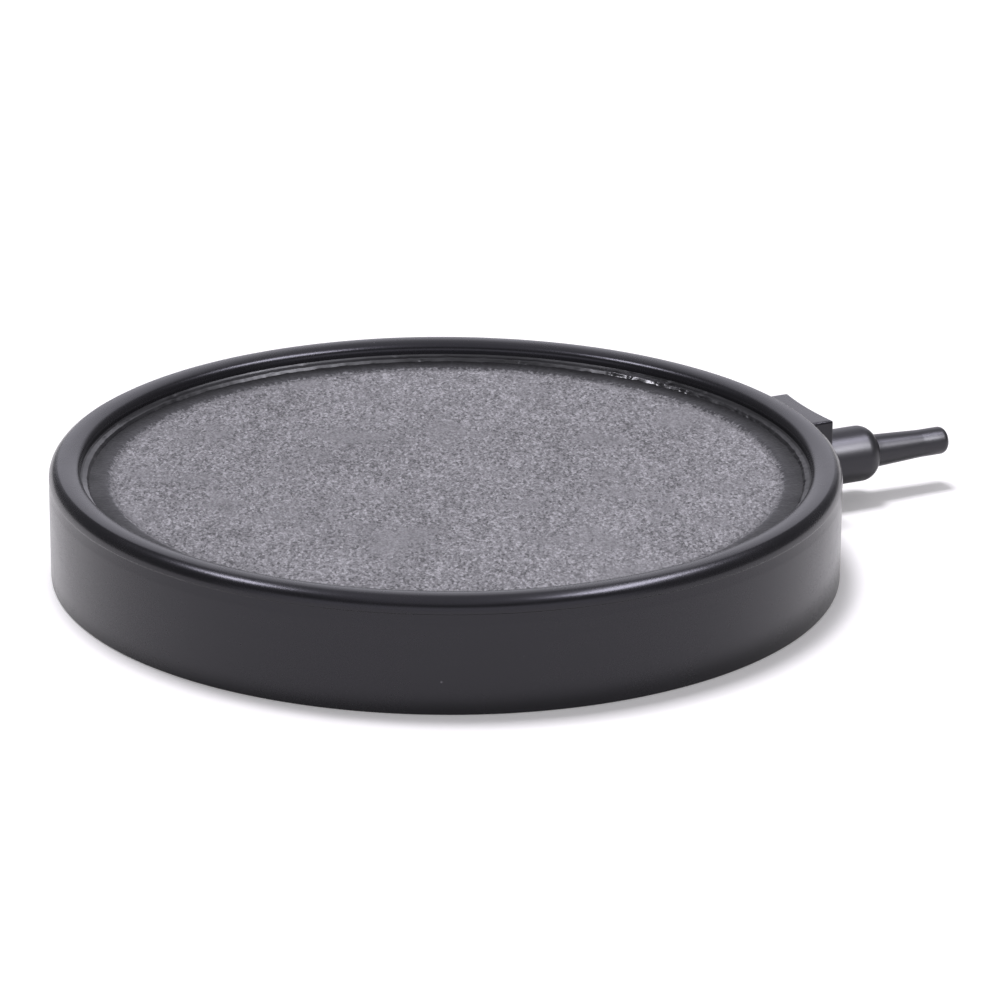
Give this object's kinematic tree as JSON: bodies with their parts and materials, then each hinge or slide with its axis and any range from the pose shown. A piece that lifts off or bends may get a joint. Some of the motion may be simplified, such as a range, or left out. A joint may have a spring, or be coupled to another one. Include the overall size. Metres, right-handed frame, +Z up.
{
  "type": "air diffuser disc",
  "caption": "Round flat aquarium diffuser: a porous stone disc bonded into a black moulded tray, fed through a stepped hose nozzle on its side.",
  "frame": {"origin": "centre of the flat underside of the tray, on the surface that it rests on", "axes": "+Z up, out of the face of the stone; +X from the tray's centre along the hose nozzle, pointing away from the tray"},
  "size_m": [0.1604, 0.13, 0.019],
  "materials": {
    "tray_plastic": "satin black moulded plastic",
    "nozzle_plastic": "semi-gloss black moulded plastic",
    "mineral": "matt grey bonded mineral grain, open pored",
    "coat_resin": "dark resin soaked into the grain, matt",
    "sealant": "black sealant, wet gloss"
  },
  "bodies": {
    "root": {"tray": "tray_plastic", "stone_disc": "mineral", "margin_coat": "coat_resin", "edge_bead": "sealant", "bedding_ring": "sealant", "hose_nozzle": "nozzle_plastic", "nozzle_bond": "sealant"}
  },
  "joints": []
}
